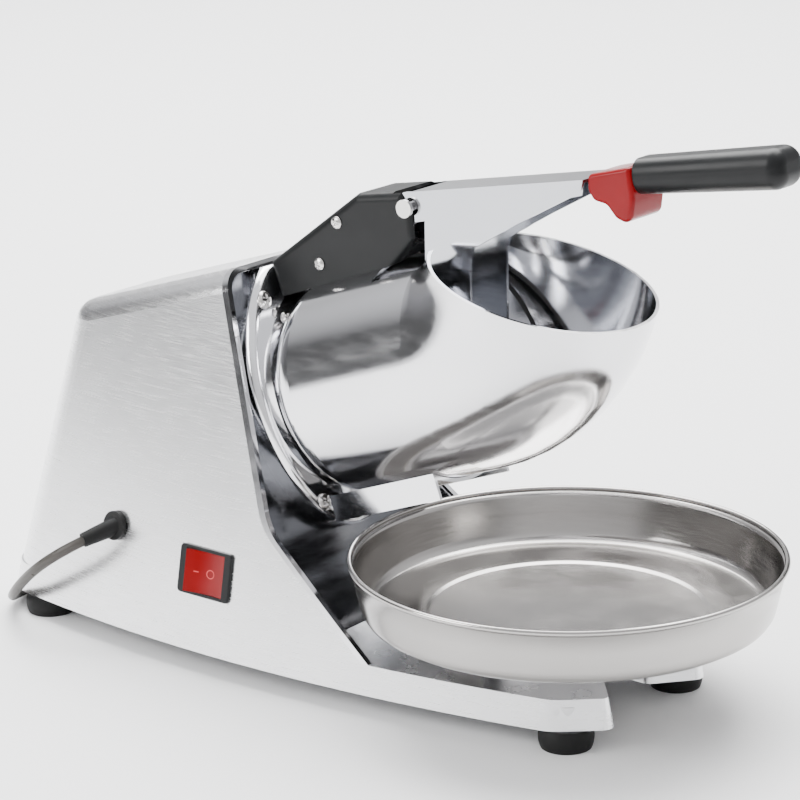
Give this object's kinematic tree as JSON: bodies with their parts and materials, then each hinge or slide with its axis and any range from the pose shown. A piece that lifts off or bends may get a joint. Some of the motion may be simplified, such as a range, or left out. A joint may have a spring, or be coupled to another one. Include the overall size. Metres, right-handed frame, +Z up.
{
  "type": "shaved ice machine",
  "caption": "Electric ice shaver: sloped metal casing, tilted round hopper with hinged lever and pusher, blade disc on a motor shaft, discharge hood and round catch pan on a forked base.",
  "frame": {"origin": "middle of the footprint of the body, without the mains lead, on the surface it stands on", "axes": "+X from the casing towards the pan and the lever grip, +Z up"},
  "size_m": [0.5229, 0.295, 0.3231],
  "materials": {
    "casing_alloy": "fine satin-polished casting",
    "bright_trim": "polished double-line bead",
    "dark_panel": "polished plate",
    "polished_alloy": "mirror-polished casting",
    "chrome_lever": "bright chrome plate",
    "stainless_pan": "bright stainless",
    "plain_steel": "plain zinc-coated steel",
    "cast_caps": "as cast",
    "screw_steel": "bright plated",
    "black_plastic": "satin black",
    "red_plastic": "glossy red",
    "black_rubber": "matt",
    "grey_cord": "smooth grey PVC",
    "brass_contacts": "bright"
  },
  "bodies": {
    "frame": {"bottom_cover": "plain_steel", "capacitor": "cast_caps", "casing": "casing_alloy", "cord_coil": "grey_cord", "cord_lead": "grey_cord", "cord_tail": "grey_cord", "cord_tie": "black_plastic", "discharge_hood": "polished_alloy", "foot_1": "black_rubber", "foot_2": "black_rubber", "foot_3": "black_rubber", "foot_4": "black_rubber", "foot_screws": "screw_steel", "front_bearing": "screw_steel", "front_panel": "dark_panel", "front_trim": "bright_trim", "head_plate": "polished_alloy", "head_plate_screws": "screw_steel", "hinge_bracket": "plain_steel", "hinge_cover": "black_plastic", "hinge_cover_screws": "screw_steel", "hinge_pin": "screw_steel", "hinge_pin_nut": "screw_steel", "hopper": "polished_alloy", "hopper_flange": "polished_alloy", "hopper_flange_screws": "screw_steel", "interlock_switch": "black_plastic", "motor_bolts": "screw_steel", "motor_front_cap": "cast_caps", "motor_housing": "plain_steel", "motor_rear_cap": "cast_caps", "pan_rest": "plain_steel", "plug": "grey_cord", "plug_pins": "brass_contacts", "rear_bearing": "screw_steel", "stator": "plain_steel", "strain_relief": "black_rubber", "switch_body": "black_plastic", "terminal_block": "black_plastic"},
    "drive": {"motor_shaft": "plain_steel", "rotor": "plain_steel", "cooling_fan": "black_plastic", "blade_disc": "stainless_pan", "shaving_blades": "screw_steel", "disc_nut": "screw_steel"},
    "lever": {"lever": "chrome_lever", "lever_collar": "red_plastic", "grip": "black_plastic", "pusher_plate": "chrome_lever", "pusher_edge": "black_rubber"},
    "rocker": {"rocker": "red_plastic"},
    "plunger": {"interlock_plunger": "screw_steel"},
    "pan": {"pan": "stainless_pan"}
  },
  "joints": [
    {"name": "lever_hinge", "type": "hinge", "parent": "frame", "child": "lever", "pos_m": [0.023, 0, 0.268], "axis": [0, -1, 0], "range_deg": [-8, 75]},
    {"name": "blade_spin", "type": "hinge", "parent": "frame", "child": "drive", "pos_m": [0.0558, 0, 0.187], "axis": [0.9397, 0, 0.342], "continuous": true},
    {"name": "rocker_tilt", "type": "hinge", "parent": "frame", "child": "rocker", "pos_m": [-0.0769, -0.0749, 0.05602], "axis": [0.004, 0.1959, 0.9806], "range_deg": [-14, 0]},
    {"name": "plunger_slide", "type": "slide", "parent": "frame", "child": "plunger", "axis": [-1, 0, 0], "range_m": [0, 0.003], "stiffness_N_per_m": 150},
    {"name": "pan_slide", "type": "slide", "parent": "frame", "child": "pan", "axis": [1, 0, 0], "range_m": [0, 0.12]}
  ]
}
